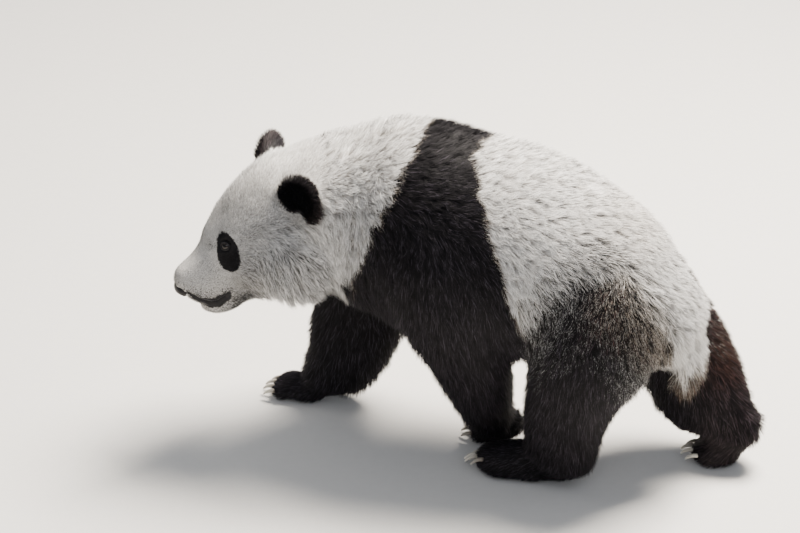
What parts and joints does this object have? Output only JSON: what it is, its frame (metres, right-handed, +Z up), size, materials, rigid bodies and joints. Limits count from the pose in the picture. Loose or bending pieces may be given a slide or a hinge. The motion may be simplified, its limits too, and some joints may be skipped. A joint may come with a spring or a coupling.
{
  "type": "giant panda",
  "caption": "Life-size still model of a young giant panda walking, head low and turned to its left, far hind leg stretched back.",
  "frame": {"origin": "on the floor under the middle of the bounding box", "axes": "+Z up, -X towards the head, -Y the animal's left side"},
  "size_m": [1.0254, 0.4066, 0.625],
  "materials": {
    "white_coat": "dense pale guard hair over wool",
    "black_coat": "dense black-brown guard hair",
    "nose_leather": "moist pebbled black skin",
    "cornea": "wet dark brown eye",
    "claw_horn": "pale horn"
  },
  "bodies": {
    "root": {"claw_forepaw_left_1": "claw_horn", "claw_forepaw_left_2": "claw_horn", "claw_forepaw_left_3": "claw_horn", "claw_forepaw_left_4": "claw_horn", "claw_forepaw_left_5": "claw_horn", "claw_forepaw_right_1": "claw_horn", "claw_forepaw_right_2": "claw_horn", "claw_forepaw_right_3": "claw_horn", "claw_forepaw_right_4": "claw_horn", "claw_forepaw_right_5": "claw_horn", "claw_hindpaw_left_1": "claw_horn", "claw_hindpaw_left_2": "claw_horn", "claw_hindpaw_left_3": "claw_horn", "claw_hindpaw_left_4": "claw_horn", "claw_hindpaw_left_5": "claw_horn", "claw_hindpaw_right_1": "claw_horn", "claw_hindpaw_right_2": "claw_horn", "claw_hindpaw_right_3": "claw_horn", "claw_hindpaw_right_4": "claw_horn", "claw_hindpaw_right_5": "claw_horn", "ear_left": "black_coat", "ear_right": "black_coat", "eye_left": "cornea", "eye_right": "cornea", "foreleg_left_lower": "black_coat", "foreleg_left_upper": "black_coat", "foreleg_right_lower": "black_coat", "foreleg_right_upper": "black_coat", "forepaw_left": "black_coat", "forepaw_right": "black_coat", "head": "white_coat", "hindleg_left_lower": "black_coat", "hindleg_left_upper": "black_coat", "hindleg_right_lower": "black_coat", "hindleg_right_upper": "black_coat", "hindpaw_left": "black_coat", "hindpaw_right": "black_coat", "neck": "white_coat", "nose": "nose_leather", "tail": "white_coat", "trunk": "white_coat"}
  },
  "joints": []
}
